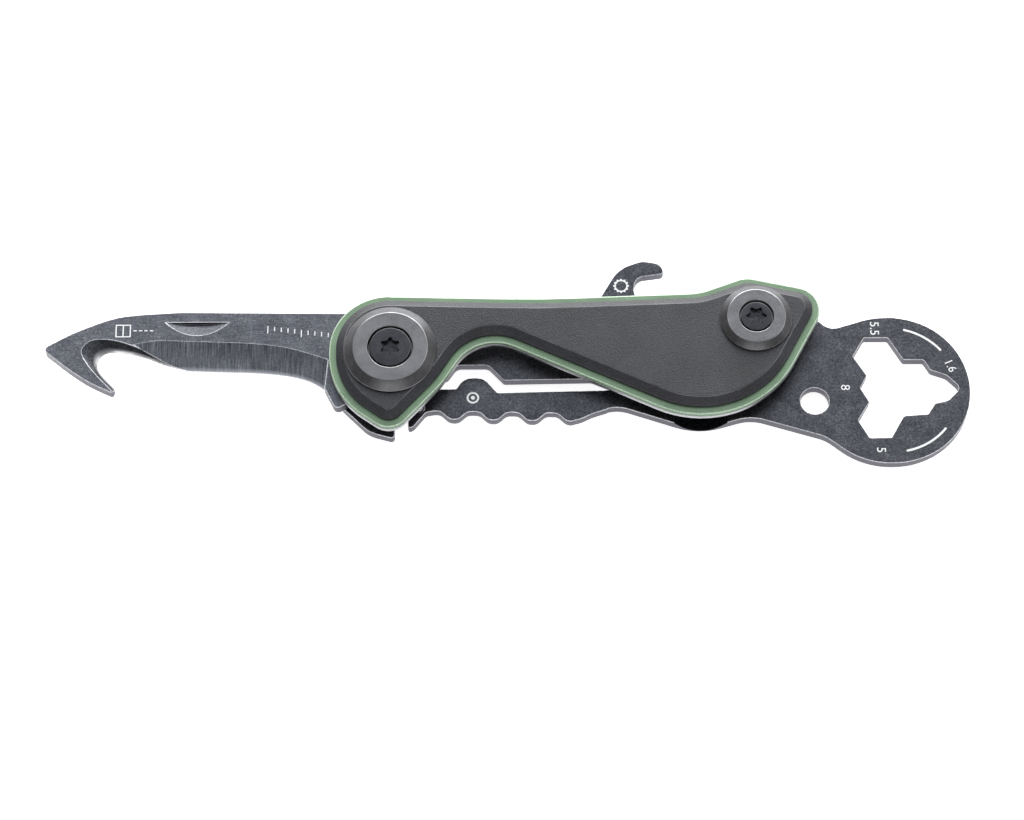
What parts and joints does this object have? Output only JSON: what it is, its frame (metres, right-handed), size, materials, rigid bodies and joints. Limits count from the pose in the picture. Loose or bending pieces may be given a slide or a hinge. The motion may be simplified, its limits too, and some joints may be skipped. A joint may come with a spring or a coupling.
{
  "type": "multi tool",
  "caption": "Folding multi tool with a hook-tipped blade, lock bar with finger waves, opener hook, spanner head and a textured handle scale on a green accent plate.",
  "frame": {"origin": "under the middle of the open tool's box, on the surface that the two back collars rest on", "axes": "+X from the blade's tip to the spanner head, +Y towards the blade's spine and the opener hook, +Z out of the textured front scale"},
  "size_m": [0.126, 0.0304, 0.009],
  "materials": {
    "stonewashed_steel": "black stonewashed steel plate with bright worn edges",
    "blade_steel": "black stonewashed steel with vertical grind lines on the bevel",
    "liner_steel": "satin steel",
    "accent_green": "satin green anodised plate",
    "scale_black": "black moulded plastic with a fine pebble texture",
    "collar_steel": "dark turned steel with fine rings",
    "screw_black": "black oxide screw",
    "sleeve_steel": "plain turned steel",
    "bronze": "sintered bronze washer"
  },
  "bodies": {
    "handle": {"frame_plate": "stonewashed_steel", "steel_liner": "liner_steel", "accent_plate": "accent_green", "front_scale": "scale_black", "pivot_collar_front": "collar_steel", "pivot_collar_back": "collar_steel", "post_collar_front": "collar_steel", "post_collar_back": "collar_steel", "pivot_screw_front": "screw_black", "pivot_screw_back": "screw_black", "post_screw_front": "screw_black", "post_screw_back": "screw_black", "pivot_sleeve": "sleeve_steel", "post_sleeve": "sleeve_steel", "post_spacer": "sleeve_steel", "stop_pin": "sleeve_steel", "pivot_washer_front": "bronze", "pivot_washer_back": "bronze"},
    "blade": {"blade": "blade_steel"},
    "lock_bar": {"lock_bar": "stonewashed_steel", "detent_ball": "sleeve_steel"}
  },
  "joints": [
    {"name": "blade_pivot", "type": "hinge", "parent": "handle", "child": "blade", "pos_m": [-0.01573, -0.00044, 0.0039], "axis": [0, 0, 1], "range_deg": [0, 180]},
    {"name": "lock_bar_press", "type": "hinge", "parent": "handle", "child": "lock_bar", "pos_m": [0.01327, -0.00545, 0.002], "axis": [0, -1, 0], "range_deg": [0, 2.3], "stiffness_Nm_per_rad": 4}
  ]
}
